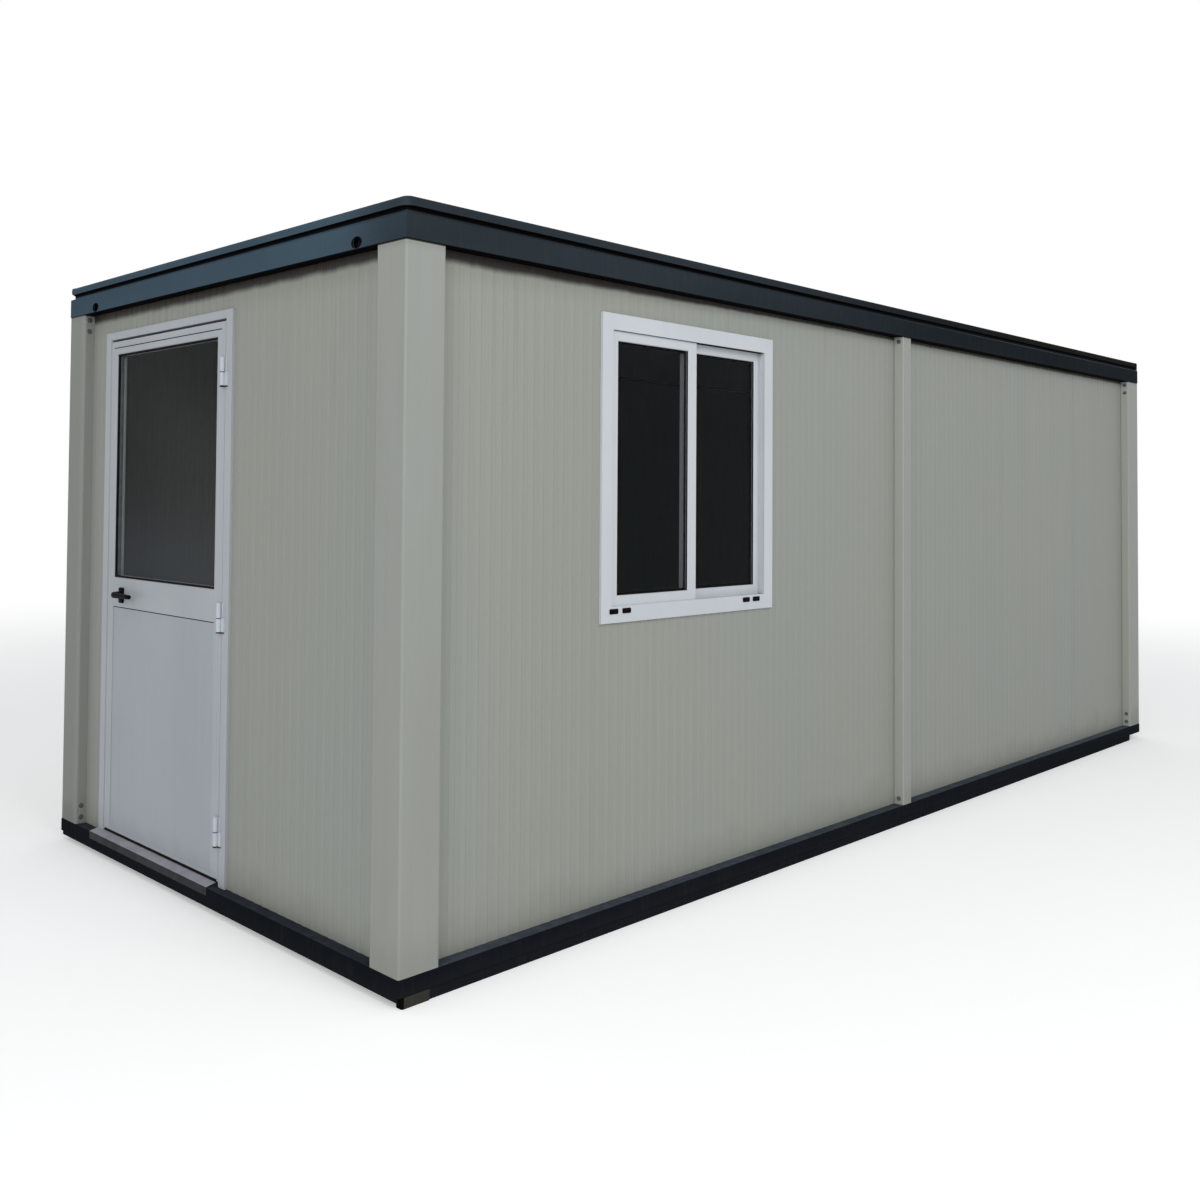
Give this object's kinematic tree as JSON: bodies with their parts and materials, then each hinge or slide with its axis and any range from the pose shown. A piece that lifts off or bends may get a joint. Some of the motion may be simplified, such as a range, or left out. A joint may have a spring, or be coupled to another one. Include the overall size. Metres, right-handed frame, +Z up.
{
  "type": "portable site cabin",
  "caption": "Flat-roofed portable site cabin with ribbed panel walls, a glazed hinged door in one end and a sliding window in a long wall.",
  "frame": {"origin": "middle of the footprint, on the ground under the runners", "axes": "+X along the cabin from the door end to the rear end, +Y from the long wall with the window to the back wall, +Z up"},
  "size_m": [6.318, 2.4, 2.481],
  "materials": {
    "wall_panel": "coated steel sheet, light grey white",
    "post": "satin paint, light grey white",
    "dark_frame": "satin paint, dark blue grey",
    "white_door": "satin powder coat, white",
    "white_door_panel": "satin coated sheet, white",
    "white_hinge": "satin powder coat, white",
    "white_window": "satin window profile, white",
    "glass": "clear double glazing",
    "black_handle": "satin black",
    "black_cover": "satin black",
    "sill_metal": "plain, dull, dark with wear",
    "steel_foot": "worn paint, dull dark khaki",
    "zinc_joist": "galvanised",
    "zinc_roof": "galvanised sheet",
    "white_ceiling": "coated sheet, white",
    "floor_wood": "sealed board"
  },
  "bodies": {
    "cabin": {"back_wall_left": "wall_panel", "back_wall_right": "wall_panel", "base_rail_back": "dark_frame", "base_rail_door_end": "dark_frame", "base_rail_front": "dark_frame", "base_rail_rear_end": "dark_frame", "base_runners": "dark_frame", "ceiling": "white_ceiling", "centre_post_back": "post", "centre_post_front": "post", "corner_foot": "steel_foot", "corner_post_door_back": "post", "corner_post_door_front": "post", "corner_post_rear_back": "post", "corner_post_rear_front": "post", "door_head": "white_door", "door_hinge_frame_halves": "white_hinge", "door_jamb_hinge_side": "white_door", "door_jamb_lock_side": "white_door", "door_sill": "sill_metal", "door_wall_hinge_side": "wall_panel", "door_wall_lock_side": "wall_panel", "door_wall_over_door": "wall_panel", "floor_board": "floor_wood", "floor_joists": "zinc_joist", "front_wall_above_window": "wall_panel", "front_wall_below_window": "wall_panel", "front_wall_centre": "wall_panel", "front_wall_door_end": "wall_panel", "front_wall_right": "wall_panel", "rear_wall": "wall_panel", "roof_beam_back": "dark_frame", "roof_beam_door_end": "dark_frame", "roof_beam_front": "dark_frame", "roof_beam_rear_end": "dark_frame", "roof_sheet": "zinc_roof", "window_drain_covers": "black_cover", "window_frame": "white_window", "window_pane_inner": "glass", "window_pane_outer": "glass", "window_sash_inner": "white_window", "window_sash_outer": "white_window"},
    "door": {"door_leaf_frame": "white_door", "door_leaf_panel": "white_door_panel", "door_glass": "glass", "door_hinge_leaf_halves": "white_hinge", "door_handle_plates": "black_handle"},
    "lever": {"door_lever": "black_handle"}
  },
  "joints": [
    {"name": "door_hinge", "type": "hinge", "parent": "cabin", "child": "door", "pos_m": [-3.122, -0.083, 1.1], "axis": [0, 0, 1], "range_deg": [0, 110]},
    {"name": "lever_turn", "type": "hinge", "parent": "door", "child": "lever", "pos_m": [-3.092, 0.722, 1.123], "axis": [1, 0, 0], "range_deg": [0, 40], "stiffness_Nm_per_rad": 1.5, "springref_deg": -17.19}
  ]
}
